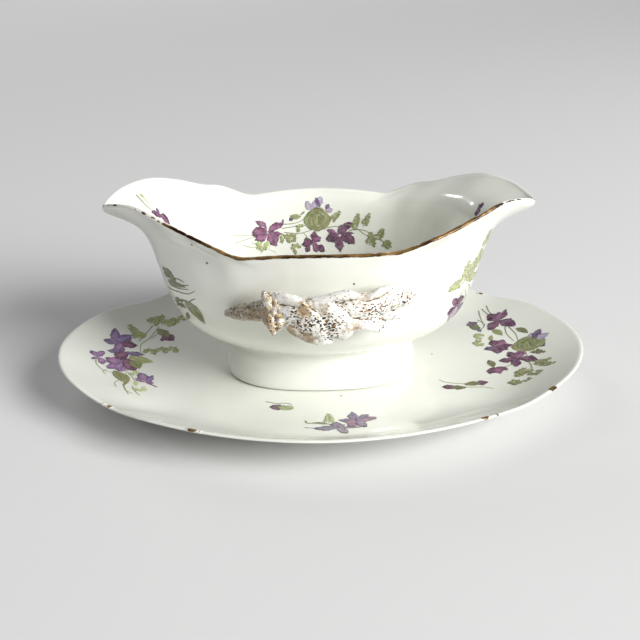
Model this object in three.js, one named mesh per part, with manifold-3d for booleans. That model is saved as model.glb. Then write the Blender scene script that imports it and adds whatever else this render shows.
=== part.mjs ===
// A double-spouted porcelain gravy boat on its oval stand.
// Millimetres, +Z up, +X along the length, the front handle towards -Y, z = 0 under the stand.
import * as THREE from 'three';
import Module from 'manifold-3d';
import { mergeVertices } from 'three/addons/utils/BufferGeometryUtils.js';

const wasm = await Module();
wasm.setup();

// ---------------------------------------------------------------- driving dimensions
const STAND_HALF_LENGTH = 115;
const STAND_HALF_WIDTH = 85;
const STAND_HEIGHT = 19.5;
const WELL_TOP = 9.6;            // top of the flat middle of the stand
const BOAT_HALF_LENGTH = 90;     // spout tip to spout tip is twice this
const BOAT_HALF_WIDTH = 44.3;
const WALL = 3;                  // thickness of the bowl's wall
const FOOT_HEIGHT = 15.2;        // pedestal foot, from the stand to the bowl
const GAP = 0.3;                 // clearance left between touching pieces
const FOOT_TOP = WELL_TOP + GAP + FOOT_HEIGHT;
const BOWL_BOTTOM = FOOT_TOP + GAP;
const AROUND_STAND = 72;         // facets around the long ovals
const AROUND_FOOT = 48;
const AROUND_HANDLE = 10;
const PER_STATION = 2;            // skin rows for each station of a handle's strand
const END_CAP = 0.6;             // how far a strand's blunt end is domed
const RING_ROWS = 6;

// ---------------------------------------------------------------- materials
const glaze = new THREE.MeshStandardMaterial({ color: '#eff0e6', roughness: 0.18, metalness: 0 });
const footGlaze = new THREE.MeshStandardMaterial({ color: '#f1f2e9', roughness: 0.2, metalness: 0 });
const stippledGlaze = new THREE.MeshStandardMaterial({ color: '#d9cbb2', roughness: 0.3, metalness: 0 });
const giltGlaze = new THREE.MeshStandardMaterial({ color: '#8d6a3a', roughness: 0.35, metalness: 0.2 });

// ---------------------------------------------------------------- helpers
const mix = (a, b, t) => a + (b - a) * t;

// A closed skin of rows of points: a lathe gives the rows and columns their faces, and each
// row is then set from pointAt(row, turn), with turn running from 0 to 1 around the piece.
function skin(rows, columns, pointAt, closed = false) {
  const stack = Array.from({ length: closed ? rows + 1 : rows }, (_, row) => new THREE.Vector2(1, row));
  const geometry = new THREE.LatheGeometry(stack, columns);
  const place = geometry.attributes.position;
  for (let column = 0; column <= columns; column += 1) {
    for (let row = 0; row < stack.length; row += 1) {
      const point = pointAt(row % rows, (column % columns) / columns);
      place.setXYZ(column * stack.length + row, point.x, point.y, point.z);
    }
  }
  return geometry;
}

// A point on an oval outline: exponent 2 is an ellipse, more is squarer.
function oval(halfLength, halfWidth, turn, exponent = 2) {
  const angle = turn * Math.PI * 2;
  const power = 2 / exponent;
  const c = Math.cos(angle);
  const s = Math.sin(angle);
  return [
    halfLength * Math.sign(c) * Math.abs(c) ** power,
    halfWidth * Math.sign(s) * Math.abs(s) ** power,
  ];
}

function toManifold(geometry) {
  const bare = geometry.index ? geometry.toNonIndexed() : geometry.clone();
  bare.deleteAttribute('normal');
  bare.deleteAttribute('uv');
  const welded = mergeVertices(bare, 1e-4);
  return new wasm.Manifold(new wasm.Mesh({
    numProp: 3,
    vertProperties: new Float32Array(welded.attributes.position.array),
    triVerts: new Uint32Array(welded.index.array),
  }));
}

function toGeometry(solid) {
  const mesh = solid.getMesh();
  const geometry = new THREE.BufferGeometry();
  geometry.setAttribute('position', new THREE.BufferAttribute(new Float32Array(mesh.vertProperties), 3));
  geometry.setIndex(new THREE.BufferAttribute(new Uint32Array(mesh.triVerts), 1));
  geometry.computeVertexNormals();
  return geometry;
}

function piece(name, geometry, material) {
  const mesh = new THREE.Mesh(geometry, material);
  mesh.name = name;
  return mesh;
}

// ---------------------------------------------------------------- stand
// Wall section from the middle underneath, out over the foot ring to the rim and back over the
// well: share of the half length, height, and how far the rim's scallops reach this row (0 to 1).
const STAND_SECTION = [
  [0, 5.0, 0],
  [0.47, 5.0, 0],
  [0.52, 4.6, 0],
  [0.535, 0.6, 0],
  [0.545, 0, 0],
  [0.575, 0, 0],
  [0.585, 0.6, 0],
  [0.605, 4.4, 0.1],
  [0.7, 6.5, 0.3],
  [0.82, 10.4, 0.6],
  [0.92, 14.8, 0.9],
  [0.985, 17.8, 1],
  [1, 18.7, 1],
  [0.993, STAND_HEIGHT, 1],
  [0.98, 19.1, 1],
  [0.93, 17.0, 0.9],
  [0.84, 13.0, 0.7],
  [0.74, 10.6, 0.4],
  [0.64, 9.75, 0.1],
  [0.56, WELL_TOP, 0],
  [0, WELL_TOP, 0],
];

// The stand's rim is drawn in and down in a soft scallop between each side and end.
const SCALLOP = { centre: 0.72, halfSpan: 0.17, drawnIn: 0.02, drop: 2.4 };

function scallop(turn) {
  const angle = turn * Math.PI * 2;
  const fromAxis = Math.atan2(Math.abs(Math.sin(angle)), Math.abs(Math.cos(angle)));
  return Math.exp(-(((fromAxis - SCALLOP.centre) / SCALLOP.halfSpan) ** 2));
}

function standGeometry() {
  return skin(STAND_SECTION.length, AROUND_STAND, (row, turn) => {
    const [share, height, wave] = STAND_SECTION[row];
    const squareness = mix(2.2, 1.9, share);
    const dip = scallop(turn) * wave;
    const reach = share * (1 - SCALLOP.drawnIn * dip);
    const inset = STAND_HALF_LENGTH - STAND_HALF_WIDTH;
    const halfWidth = STAND_HALF_LENGTH - inset * mix(0.8, 1, share);
    const [x, y] = oval(STAND_HALF_LENGTH * reach, halfWidth * reach, turn, squareness);
    return new THREE.Vector3(x, y, height - SCALLOP.drop * dip);
  });
}

// ---------------------------------------------------------------- bowl
// A quarter of the rim, from the spout's tip to the middle of the side.
const RIM_QUARTER = [
  [BOAT_HALF_LENGTH, 0, 83.5],
  [84.4, 11.4, 87.0],
  [73.8, 20.4, 88.5],
  [62.3, 28.6, 85.4],
  [52.1, 33.4, 81.6],
  [44.5, 38.4, 79.6],
  [31.5, 40.8, 74.3],
  [24.5, 42.0, 74.7],
  [14.0, 43.3, 75.6],
  [0, BOAT_HALF_WIDTH, 76],
];

function rimCurve() {
  const back = RIM_QUARTER.slice(0, -1);
  const left = RIM_QUARTER.slice(1).reverse().map(([x, y, z]) => [-x, y, z]);
  const half = [...back, ...left];
  const frontLeft = back.map(([x, y, z]) => [-x, -y, z]);
  const frontRight = RIM_QUARTER.slice(1).reverse().map(([x, y, z]) => [x, -y, z]);
  const points = [...half, ...frontLeft, ...frontRight].map((p) => new THREE.Vector3(...p));
  return new THREE.CatmullRomCurve3(points, true);
}

// The corner on the front right came out of the kiln softer and a little higher than its twin.
const SOFT_CORNER = { x: 33, halfSpan: 11, rise: 1.7 };

function liftSoftCorner(point) {
  const away = (point.x - SOFT_CORNER.x) / SOFT_CORNER.halfSpan;
  if (point.y < 0) point.z += SOFT_CORNER.rise * Math.exp(-away * away);
  return point;
}

const RIM = rimCurve();
RIM.points.forEach(liftSoftCorner);
const AROUND_BOWL = RIM.points.length * 2;

// Rings of the bowl's outside from the foot up: half length, half width, height, and how far
// the ring follows the rim's lobes in plan and in height.
const BOWL_RINGS = [
  [38.5, 24.5, BOWL_BOTTOM, 0, 0],
  [50, 32, 28.3, 0, 0],
  [60, 38.4, 36, 0, 0],
  [65.4, 41.6, 47.5, 0.05, 0],
  [69, 43, 59, 0.2, 0.1],
  [74.6, 43.6, 70, 0.6, 0.4],
];
const LIP = [BOAT_HALF_LENGTH, BOAT_HALF_WIDTH, 0, 1, 1];
const LOW_RIM = 76;

// A point of a ring at one turn, drawn in by a thickness and lifted.
function ringPoint([halfLength, halfWidth, height, lobes, follow], turn, inset = 0, lift = 0) {
  const rim = RIM.getPoint(turn);
  const across = rim.x / BOAT_HALF_LENGTH;
  const along = rim.y / BOAT_HALF_WIDTH;
  const reach = Math.hypot(across, along);
  const x = (halfLength - inset) * mix(across / reach, across, lobes);
  const y = (halfWidth - inset) * mix(along / reach, along, lobes);
  const z = height === 0 ? rim.z + lift : height + follow * (rim.z - LOW_RIM) + lift;
  return new THREE.Vector3(x, y, z);
}

const OUTSIDE_ROWS = 13;
const INSIDE_ROWS = 11;

function bowlGeometry() {
  const rows = [];
  const outside = (turn) => new THREE.CatmullRomCurve3([
    ...BOWL_RINGS.map((ring) => ringPoint(ring, turn)),
    ringPoint(LIP, turn, 0, -0.9),
  ]);
  const insideLift = [4.2, 3.2, 1.8, 1, 0.6, 0.3];
  const inside = (turn) => new THREE.CatmullRomCurve3([
    ringPoint(LIP, turn, 2.1, -0.9),
    ...BOWL_RINGS.map((ring, i) => ringPoint(ring, turn, WALL, insideLift[i])).reverse(),
  ]);
  rows.push(() => new THREE.Vector3(0, 0, BOWL_BOTTOM));
  for (let i = 0; i < OUTSIDE_ROWS; i += 1) {
    rows.push((turn) => outside(turn).getPoint(i / (OUTSIDE_ROWS - 1)));
  }
  rows.push((turn) => ringPoint(LIP, turn, 0.45, -0.2));
  rows.push((turn) => ringPoint(LIP, turn, 1.1, 0));
  rows.push((turn) => ringPoint(LIP, turn, 1.7, -0.25));
  for (let i = 0; i < INSIDE_ROWS; i += 1) {
    rows.push((turn) => inside(turn).getPoint(i / (INSIDE_ROWS - 1)));
  }
  rows.push(() => new THREE.Vector3(0, 0, BOWL_BOTTOM + 4));
  return skin(rows.length, AROUND_BOWL, (row, turn) => rows[row](turn));
}

// ---------------------------------------------------------------- pedestal foot
// Closed section of the hollow foot: half length, half width, height above its own bottom,
// squareness. The outside cove runs first, then the inside.
const FOOT_SECTION = [
  [40.4, 29.2, 0, 2.5],
  [41.3, 30.1, 1, 2.5],
  [41.1, 29.8, 5, 2.45],
  [40.4, 28.6, 9, 2.35],
  [39.2, 26.6, 12.4, 2.2],
  [38.4, 25.2, FOOT_HEIGHT, 2.1],
  [32.5, 20, FOOT_HEIGHT, 2.1],
  [35.6, 23.8, 9, 2.3],
  [37.6, 26.4, 1, 2.5],
  [38.6, 27.4, 0, 2.5],
];

function footGeometry() {
  return skin(FOOT_SECTION.length, AROUND_FOOT, (row, turn) => {
    const [halfLength, halfWidth, height, squareness] = FOOT_SECTION[row];
    const [x, y] = oval(halfLength, halfWidth, turn, squareness);
    return new THREE.Vector3(x, y, WELL_TOP + GAP + height);
  }, true);
}

// ---------------------------------------------------------------- handles
// A strand of clay: stations along it, each with a middle, a half height, a half thickness and
// a lean in degrees, skinned with flattened ovals and closed at both ends. Grow adds clearance.
function strand(stations, grow = 0) {
  const middle = new THREE.CatmullRomCurve3(stations.map((s) => new THREE.Vector3(...s.at)));
  const sizes = new THREE.CatmullRomCurve3(stations.map((s) => new THREE.Vector3(s.tall, s.thick, s.lean)));
  const count = (stations.length - 1) * PER_STATION + 1;
  const end = (t, side) => middle.getPoint(t).addScaledVector(middle.getTangent(t), side * (END_CAP + grow));
  return skin(count + 2, AROUND_HANDLE, (row, turn) => {
    if (row === 0) return end(0, -1);
    if (row === count + 1) return end(1, 1);
    const t = (row - 1) / (count - 1);
    const along = middle.getTangent(t);
    const size = sizes.getPoint(t);
    const up = new THREE.Vector3().crossVectors(AWAY, along).normalize();
    const out = new THREE.Vector3().crossVectors(along, up);
    const lean = THREE.MathUtils.degToRad(size.z);
    const tall = up.clone().multiplyScalar(Math.cos(lean)).addScaledVector(out, Math.sin(lean));
    const thick = out.clone().multiplyScalar(Math.cos(lean)).addScaledVector(up, -Math.sin(lean));
    const angle = -turn * Math.PI * 2;
    return middle.getPoint(t)
      .addScaledVector(tall, Math.sin(angle) * (size.x + grow))
      .addScaledVector(thick, Math.cos(angle) * (size.y + grow));
  });
}

const AWAY = new THREE.Vector3(0, -1, 0);
const station = (at, tall, thick, lean = 0) => ({ at, tall, thick, lean });

// The ribbon, its two lower tips and the flap folded over its top edge.
const RIBBON = [
  station([-35.5, -36.2, 51], 2.2, 1.8),
  station([-29, -42.6, 53.2], 4.3, 2.9),
  station([-20, -49.6, 55], 5.4, 3.6, 8),
  station([-9, -54.6, 55.8], 7.2, 4.0, 14),
  station([2, -56.6, 55.2], 9.4, 3.8, 4),
  station([12, -55.6, 57.4], 7.4, 3.8, -10),
  station([21, -51, 58.6], 6.2, 3.4, -6),
  station([30, -44, 57.8], 5, 3),
  station([36.4, -37.6, 54.8], 2.6, 2),
];
const LOWER_TAIL = [
  station([6, -55, 53.4], 2.6, 2.4),
  station([14, -53, 50.6], 4.2, 2.8, -8),
  station([21, -48.6, 48.4], 3.8, 2.6, -6),
  station([26, -43.8, 46.6], 1.6, 1.6),
];
const SMALL_TIP = [
  station([20, -49.5, 54], 2.6, 2.2),
  station([26.5, -44.6, 51], 3.2, 2.4),
  station([31.5, -40.4, 49.6], 1.5, 1.6),
];
const FOLDED_FLAP = [
  station([-13, -54.8, 59.6], 1.4, 1.2),
  station([-7, -56.6, 60.8], 3.0, 2.2, 20),
  station([1, -57.6, 59.8], 3.2, 2.2, 20),
  station([8, -57, 58.4], 1.4, 1.2),
];
// The strip wrapped around the ribbon, with a curl standing on top and a leaf-like tail below.
const BAND = { share: 0.27, halfHeight: 7.6, halfDepth: 5.6, halfWidth: 2.6, thickness: 1.1, lean: 14 };
const BAND_CURL = [
  station([-18.5, -57, 60.5], 1.6, 1.4),
  station([-20.6, -56.6, 64.4], 1.8, 1.5),
  station([-23, -55, 66.8], 0.9, 0.9),
];
const BAND_TAIL = [
  station([-18.6, -56.4, 55.4], 1.8, 1.6),
  station([-17.2, -56.6, 51.2], 3.0, 1.6),
  station([-17.8, -56, 47.4], 1, 0.9),
];

function joinStrands(list, grow = 0) {
  return list.map((stations) => toManifold(strand(stations, grow))).reduce((a, b) => a.add(b));
}

// The strip's closed turn: an oval ring around the ribbon, itself an oval in section.
function bandRing(grow) {
  const ring = skin(RING_ROWS, AROUND_HANDLE * 2, (row, turn) => {
    const angle = turn * Math.PI * 2;
    const section = (row / RING_ROWS) * Math.PI * 2;
    const outward = Math.cos(section) * (BAND.thickness + grow);
    const across = Math.sin(section) * (BAND.halfWidth + grow);
    const y = Math.cos(angle) * (BAND.halfDepth + outward);
    const z = Math.sin(angle) * (BAND.halfHeight + outward);
    return new THREE.Vector3(across, y, z);
  }, true);
  const ribbonLine = new THREE.CatmullRomCurve3(RIBBON.map((stop) => new THREE.Vector3(...stop.at)));
  const along = ribbonLine.getTangent(BAND.share);
  const up = new THREE.Vector3().crossVectors(AWAY, along).normalize();
  const place = new THREE.Matrix4().makeBasis(along, new THREE.Vector3().crossVectors(up, along), up);
  ring.rotateY(THREE.MathUtils.degToRad(BAND.lean));
  ring.applyMatrix4(place.setPosition(ribbonLine.getPoint(BAND.share)));
  return toManifold(ring);
}

const bandSolid = (grow) => bandRing(grow).add(joinStrands([BAND_CURL, BAND_TAIL], grow));

// The bowl's outside as a solid block, grown by the clearance, for cutting the handle's roots.
function bowlBlock() {
  const rings = [...BOWL_RINGS, LIP];
  return toManifold(skin(rings.length + 2, AROUND_BOWL, (row, turn) => {
    if (row === 0) return new THREE.Vector3(0, 0, BOWL_BOTTOM - GAP);
    if (row === rings.length + 1) return new THREE.Vector3(0, 0, LOW_RIM);
    return ringPoint(rings[row - 1], turn, -GAP, 0);
  }));
}

// The fired handle of one side and the strip around it, in place for the front.
function handlePieces() {
  const ribbon = joinStrands([RIBBON, LOWER_TAIL, SMALL_TIP, FOLDED_FLAP])
    .subtract(bandSolid(GAP))
    .subtract(bowlBlock());
  return { ribbon: toGeometry(ribbon), band: toGeometry(bandSolid(0).subtract(bowlBlock())) };
}

// ---------------------------------------------------------------- the set
const set = new THREE.Group();
set.add(piece('stand', standGeometry(), glaze));

const boat = new THREE.Group();
boat.add(piece('bowl', bowlGeometry(), glaze));
boat.add(piece('pedestal_foot', footGeometry(), footGlaze));
const { ribbon, band } = handlePieces();
for (const [side, turn] of [['front', 0], ['back', Math.PI]]) {
  const handle = new THREE.Group();
  handle.add(piece(`${side}_handle`, ribbon, stippledGlaze));
  handle.add(piece(`${side}_handle_band`, band, giltGlaze));
  handle.rotation.z = turn;
  boat.add(handle);
}
set.add(boat);

export default set;
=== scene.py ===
"""A glazed porcelain gravy boat on its stand, gilded and printed with violets, around the CAD part."""
import math
from functools import cached_property

import bmesh
import bpy
import numpy as np
from mathutils import Matrix, Vector, noise
from mathutils.bvhtree import BVHTree


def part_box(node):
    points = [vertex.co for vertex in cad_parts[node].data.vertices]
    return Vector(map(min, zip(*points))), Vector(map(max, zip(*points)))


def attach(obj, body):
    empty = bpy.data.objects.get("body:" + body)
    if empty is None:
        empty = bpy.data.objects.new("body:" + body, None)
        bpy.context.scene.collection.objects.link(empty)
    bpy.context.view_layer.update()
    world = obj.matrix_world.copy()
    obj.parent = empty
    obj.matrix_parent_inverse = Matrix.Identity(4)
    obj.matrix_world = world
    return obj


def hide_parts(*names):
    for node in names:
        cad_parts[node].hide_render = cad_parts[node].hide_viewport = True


MM = 0.001
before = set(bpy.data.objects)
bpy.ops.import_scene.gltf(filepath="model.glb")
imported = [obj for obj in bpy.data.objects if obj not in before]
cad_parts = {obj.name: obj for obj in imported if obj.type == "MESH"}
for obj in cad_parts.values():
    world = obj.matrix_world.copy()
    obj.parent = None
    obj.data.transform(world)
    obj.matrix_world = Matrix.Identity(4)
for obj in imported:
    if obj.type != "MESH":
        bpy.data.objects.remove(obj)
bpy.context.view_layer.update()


# ---------------------------------------------------------------- sizes, from the frame
def span(node, axis):
    low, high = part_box(node)
    return low[axis], high[axis]


STAND_HALF_LENGTH = 115 * MM     # the rim's oval before its scallops
STAND_HALF_WIDTH = 85 * MM
FOOT_BOTTOM = span("pedestal_foot", 2)[0]
BOWL_BOTTOM = span("bowl", 2)[0] / MM
BOAT_HALF_LENGTH = span("bowl", 0)[1] / MM
BOAT_HALF_WIDTH = span("bowl", 1)[1] / MM
WALL = 3


# ---------------------------------------------------------------- curves and skins
def mix(a, b, t):
    return a + (b - a) * t


def ramp(value, start, length):
    """0 up to the start, 1 a length beyond it, and straight between."""
    return np.clip((value - start) / length, 0, 1)


def catmull(points, count, closed=False):
    """Points along a centripetal Catmull-Rom curve through points, count of them."""
    p = np.asarray(points, float)
    n = len(p)
    if closed:
        ext = np.vstack([p[-1], p, p[0], p[1]])
        segments = n
        ts = np.arange(count) / count * segments
    else:
        ext = np.vstack([2 * p[0] - p[1], p, 2 * p[-1] - p[-2]])
        segments = n - 1
        ts = np.arange(count) / (count - 1) * segments
    out = np.empty((count, p.shape[1]))
    for i, t in enumerate(ts):
        k = min(int(t), segments - 1)
        u = t - k
        p0, p1, p2, p3 = ext[k:k + 4]
        d0, d1, d2 = (max(np.linalg.norm(b - a) ** 0.5, 1e-5) for a, b in ((p0, p1), (p1, p2), (p2, p3)))
        m1 = ((p1 - p0) / d0 - (p2 - p0) / (d0 + d1) + (p2 - p1) / d1) * d1
        m2 = ((p2 - p1) / d1 - (p3 - p1) / (d1 + d2) + (p3 - p2) / d2) * d1
        out[i] = ((2 * u ** 3 - 3 * u ** 2 + 1) * p1 + (u ** 3 - 2 * u ** 2 + u) * m1
                  + (3 * u ** 2 - 2 * u ** 3) * p2 + (u ** 3 - u ** 2) * m2)
    return out


def placed(name, data):
    """A new object of the scene that holds this data."""
    piece = bpy.data.objects.new(name, data)
    bpy.context.scene.collection.objects.link(piece)
    return piece


def plain_mesh(name, verts, faces):
    mesh = bpy.data.meshes.new(name)
    mesh.from_pydata(verts, [], faces)
    return mesh


def skin(name, grid, closed_rows=False, poles=False):
    """A smooth mesh from a grid of points, closed around its columns; with poles, its ends are points."""
    rows, columns = grid.shape[:2]
    bm = bmesh.new()
    verts = []
    for r in range(rows):
        if poles and r in (0, rows - 1):
            verts.append([bm.verts.new(grid[r, 0])] * columns)
        else:
            verts.append([bm.verts.new(grid[r, c]) for c in range(columns)])
    for r in range(rows if closed_rows else rows - 1):
        for c in range(columns):
            corners = [verts[r][c], verts[r][(c + 1) % columns],
                       verts[(r + 1) % rows][(c + 1) % columns], verts[(r + 1) % rows][c]]
            bm.faces.new(list(dict.fromkeys(corners)))
    bmesh.ops.recalc_face_normals(bm, faces=bm.faces)
    mesh = bpy.data.meshes.new(name)
    bm.to_mesh(mesh)
    bm.free()
    mesh.shade_smooth()
    piece = placed(name, mesh)
    smooth = piece.modifiers.new("smooth", "SUBSURF")
    smooth.levels = smooth.render_levels = 1
    return applied(piece)


def applied(piece):
    """The piece with its modifiers worked into its mesh."""
    depsgraph = bpy.context.evaluated_depsgraph_get()
    mesh = bpy.data.meshes.new_from_object(piece.evaluated_get(depsgraph))
    piece.modifiers.clear()
    piece.data = mesh
    return piece


def oval(half_length, half_width, turns, exponent):
    """A superellipse: a plain ellipse at exponent 2, squarer above it."""
    angle = turns * 2 * math.pi
    c, s = np.cos(angle), np.sin(angle)
    power = 2 / exponent
    return half_length * np.sign(c) * np.abs(c) ** power, half_width * np.sign(s) * np.abs(s) ** power


# ---------------------------------------------------------------- stand
# Share of the half length, height in mm, and how far the rim's scallops reach this row.
STAND_SECTION = (
    (0, 5.0, 0), (0.25, 5.0, 0), (0.45, 5.0, 0), (0.505, 4.8, 0), (0.525, 4.2, 0), (0.535, 1.0, 0),
    (0.545, 0.05, 0), (0.575, 0.05, 0), (0.585, 0.9, 0), (0.598, 3.8, 0.1), (0.62, 4.9, 0.15),
    (0.7, 6.5, 0.3), (0.76, 8.2, 0.45), (0.82, 10.4, 0.6), (0.87, 12.5, 0.75), (0.92, 14.8, 0.9),
    (0.96, 16.7, 0.97), (0.985, 17.9, 1), (0.996, 18.4, 1), (1, 18.9, 1), (0.998, 19.3, 1),
    (0.991, 19.5, 1), (0.982, 19.25, 1), (0.972, 18.75, 1), (0.95, 17.8, 0.95), (0.91, 16.0, 0.85),
    (0.87, 14.3, 0.75), (0.82, 12.4, 0.6), (0.77, 11.2, 0.45), (0.71, 10.25, 0.3),
    (0.64, 9.75, 0.1), (0.57, 9.6, 0), (0.45, 9.6, 0), (0.25, 9.6, 0), (0, 9.6, 0),
)
AROUND_STAND = 180
CENTRE_WIDTH = 0.8               # how much of the rim's narrowing the plate has at its middle
CENTRE_SQUARE, RIM_SQUARE = 2.2, 1.9
# The rim is drawn in and down in a soft scallop between each side and end.
SCALLOP = {"centre": 0.72, "half_span": 0.17, "drawn_in": 0.02, "drop": 2.4}


def scallop(turns):
    angle = turns * 2 * math.pi
    from_axis = np.arctan2(np.abs(np.sin(angle)), np.abs(np.cos(angle)))
    return np.exp(-((from_axis - SCALLOP["centre"]) / SCALLOP["half_span"]) ** 2)


def stand_row(share, height, wave, turns):
    dip = scallop(turns) * wave
    reach = share * (1 - SCALLOP["drawn_in"] * dip)
    narrowing = (STAND_HALF_LENGTH - STAND_HALF_WIDTH) * mix(CENTRE_WIDTH, 1, share)
    square = mix(CENTRE_SQUARE, RIM_SQUARE, share)
    x, y = oval(STAND_HALF_LENGTH * reach, (STAND_HALF_LENGTH - narrowing) * reach, turns, square)
    return np.stack([x, y, (height - SCALLOP["drop"] * dip) * MM], -1)


def make_stand():
    turns = np.arange(AROUND_STAND) / AROUND_STAND
    return skin("stand_porcelain", np.array([stand_row(*row, turns) for row in STAND_SECTION]), poles=True)


# ---------------------------------------------------------------- bowl
# A quarter of the rim in mm, from the pouring lip's tip to the middle of the side.
RIM_QUARTER = (
    (BOAT_HALF_LENGTH, 0, 83.5), (84.4, 11.4, 87.0), (73.8, 20.4, 88.5), (62.3, 28.6, 85.4),
    (52.1, 33.4, 81.6), (44.5, 38.4, 79.6), (31.5, 40.8, 74.3), (24.5, 42.0, 74.7),
    (14.0, 43.3, 75.6), (0, BOAT_HALF_WIDTH, 76),
)
SOFT_CORNER = {"x": 33, "half_span": 11, "rise": 1.7}
PER_KNOT = 5
LOW_RIM = 76
# Rings from the foot up: half length, half width, height in mm, share of the rim's lobes in plan
# and in height, and how much higher the ring is on the inside of the wall.
BOWL_RINGS = (
    (38.5, 24.5, BOWL_BOTTOM, 0, 0, 4.2), (50, 32, 28.3, 0, 0, 3.2), (60, 38.4, 36, 0, 0, 1.8),
    (65.4, 41.6, 47.5, 0.05, 0, 1), (69, 43, 59, 0.2, 0.1, 0.6), (74.6, 43.6, 70, 0.6, 0.4, 0.3),
)
OUTSIDE_ROWS, INSIDE_ROWS = 34, 30
BOWL_FLOOR = {"half_length": 35.5, "half_width": 21.5, "thickness": 4, "dish": 0.2}
BLUNT_TIP = {"from": 76, "length": 14, "power": 1.4}


def rim_points():
    """The rim's whole line, with one corner of the near side softened upward."""
    half = list(RIM_QUARTER[:-1]) + [(-x, y, z) for x, y, z in RIM_QUARTER[:0:-1]]
    knots = [list(p) for p in half + [(-x, -y, z) for x, y, z in half]]
    for p in knots:
        if p[1] < 0:
            away = (p[0] - SOFT_CORNER["x"]) / SOFT_CORNER["half_span"]
            p[2] += SOFT_CORNER["rise"] * math.exp(-away * away)
    return catmull(knots, len(knots) * PER_KNOT, closed=True)


RIM = rim_points()


def ring(half_length, half_width, height, lobes, follow, inset=0.0, lift=0.0):
    """One ring of the bowl around all of the rim's points, in mm; without a height, at the rim's own."""
    across = RIM[:, 0] / BOAT_HALF_LENGTH
    along = RIM[:, 1] / BOAT_HALF_WIDTH
    reach = np.hypot(across, along)
    x = (half_length - inset) * mix(across / reach, across, lobes)
    y = (half_width - inset) * mix(along / reach, along, lobes)
    z = (RIM[:, 2] if height is None else height + follow * (RIM[:, 2] - LOW_RIM)) + lift
    return np.stack([x, y, z], -1)


def rim_ring(inset, lift):
    return ring(BOAT_HALF_LENGTH, BOAT_HALF_WIDTH, None, 1, 1, inset, lift)


def wall_rows(rings, count):
    """Count rows of a wall, on a smooth curve up through the rings at each column."""
    stack = np.array(rings)
    columns = [catmull(stack[:, c], count) for c in range(stack.shape[1])]
    return np.array(columns).transpose(1, 0, 2)


def flat_rings(half_length, half_width, shares, height, dish=0.0):
    return [ring(half_length * k, half_width * k, mix(height, height + dish, k), 0, 0) for k in shares]


def make_bowl():
    """Underside, outer wall, rounded lip, inner wall and floor, as one closed skin."""
    # The two pouring tips end in a thick rounded edge.
    blunt = ramp(np.abs(RIM[:, 0]), BLUNT_TIP["from"], BLUNT_TIP["length"]) ** BLUNT_TIP["power"]
    outer = [ring(*row[:5]) for row in BOWL_RINGS] + [rim_ring(0.7 * blunt, -0.9 - 2.5 * blunt)]
    inner = [ring(*row[:5], inset=WALL, lift=row[5]) for row in reversed(BOWL_RINGS)]
    lip = [rim_ring(0.04, -0.65 - 1.6 * blunt), rim_ring(0.18 - 0.18 * blunt, -0.4 - 0.5 * blunt),
           rim_ring(0.6, -0.05), rim_ring(1.1, 0.05), rim_ring(1.6, -0.1), rim_ring(1.95, -0.5)]
    low = flat_rings(*BOWL_RINGS[0][:2], (0, 0.4, 0.8), BOWL_BOTTOM)
    floor = flat_rings(BOWL_FLOOR["half_length"], BOWL_FLOOR["half_width"], (0.75, 0.4, 0),
                       BOWL_BOTTOM + BOWL_FLOOR["thickness"], BOWL_FLOOR["dish"])
    rows = low + list(wall_rows(outer, OUTSIDE_ROWS)) + lip
    rows += list(wall_rows([rim_ring(2.1, -0.9)] + inner, INSIDE_ROWS)) + floor
    return skin("bowl_porcelain", np.array(rows) * MM, poles=True)


# ---------------------------------------------------------------- pedestal foot
# Half length, half width, height above the foot's own bottom in mm, squareness.
FOOT_SECTION = (
    (39.6, 28.4, 0, 2.5), (40.4, 29.2, 0, 2.5), (41.0, 29.8, 0.35, 2.5), (41.3, 30.1, 1.2, 2.5),
    (41.3, 30.05, 3, 2.48), (41.1, 29.8, 5, 2.45), (40.8, 29.3, 7, 2.4), (40.4, 28.6, 9, 2.35),
    (39.9, 27.7, 10.6, 2.25), (39.5, 27.0, 11.8, 2.18), (39.4, 26.6, 13.0, 2.1),
    (39.8, 26.6, 14.2, 2.05), (40.8, 27.1, 15.2, 2.0), (42.6, 28.1, 16.1, 2.0),
    (45.4, 29.6, 17.0, 2.0), (48.4, 31.4, 18.0, 2.0), (48.0, 30.6, 18.4, 2.0),
    (44.0, 28.2, 17.2, 2.0), (38.0, 24.8, 15.7, 2.05), (35.5, 22.5, 15.4, 2.1),
    (33.0, 20.5, 15.2, 2.1), (32.8, 20.4, 14.8, 2.1), (34.2, 22.1, 12, 2.2), (35.6, 23.8, 9, 2.3),
    (36.8, 25.4, 5, 2.4), (37.6, 26.4, 1.2, 2.5), (38.0, 26.9, 0.3, 2.5), (38.6, 27.4, 0, 2.5),
)
AROUND_FOOT = 144


def make_foot():
    turns = np.arange(AROUND_FOOT) / AROUND_FOOT
    rows = []
    for half_length, half_width, height, squareness in FOOT_SECTION:
        x, y = oval(half_length * MM, half_width * MM, turns, squareness)
        rows.append(np.stack([x, y, np.full_like(turns, FOOT_BOTTOM + height * MM)], -1))
    return skin("foot_porcelain", np.array(rows), closed_rows=True)


# ---------------------------------------------------------------- materials
WHITE = (0.83, 0.82, 0.75)       # the bare glaze that shows through worn gilding


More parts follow.
